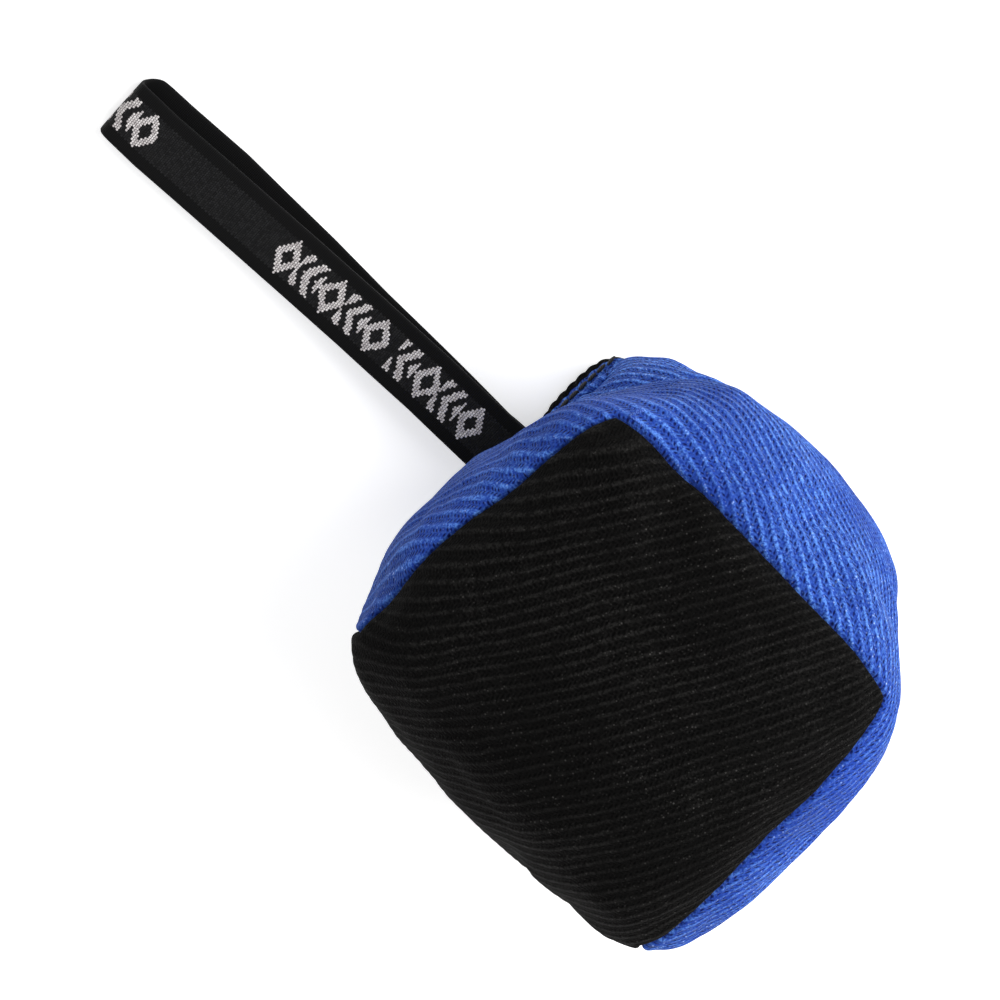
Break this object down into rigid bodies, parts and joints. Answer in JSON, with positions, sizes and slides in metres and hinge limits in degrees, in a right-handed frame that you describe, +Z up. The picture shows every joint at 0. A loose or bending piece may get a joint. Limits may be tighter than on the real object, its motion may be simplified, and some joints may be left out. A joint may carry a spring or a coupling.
{
  "type": "training bumper",
  "caption": "Stuffed canvas cube made of two interlocking strips in two colours, with a flat webbing loop handle caught in its closing seam.",
  "frame": {"origin": "centre of the flat patch on the black bottom panel that the cube rests on", "axes": "+Z up through the black top panel, +X towards the handle, +Y towards the black side panel"},
  "size_m": [0.2897, 0.135, 0.1344],
  "materials": {
    "black_canvas": "matt black twill canvas",
    "blue_canvas": "royal blue twill canvas with a slight sheen",
    "fibre_fill": "loose off-white fibre",
    "black_thread": "black bonded sewing thread",
    "blue_thread": "blue sewing thread",
    "black_webbing": "cross-ribbed woven webbing with an off-white woven pattern"
  },
  "bodies": {
    "ball": {"black_cover_strip": "black_canvas", "blue_cover_strip": "blue_canvas", "fibre_filling": "fibre_fill", "inner_seam_thread": "black_thread", "closing_stitch_blue_side": "black_thread", "closing_stitch_black_side": "black_thread", "corner_thread_end": "blue_thread", "handle_tail_upper": "black_webbing", "handle_tail_lower": "black_webbing"},
    "handle": {"handle_loop": "black_webbing"}
  },
  "joints": [
    {"name": "handle_swing", "type": "hinge", "parent": "ball", "child": "handle", "pos_m": [0.05713, 0, 0.00838], "axis": [0, -1, 0], "range_deg": [-120, 55]}
  ]
}
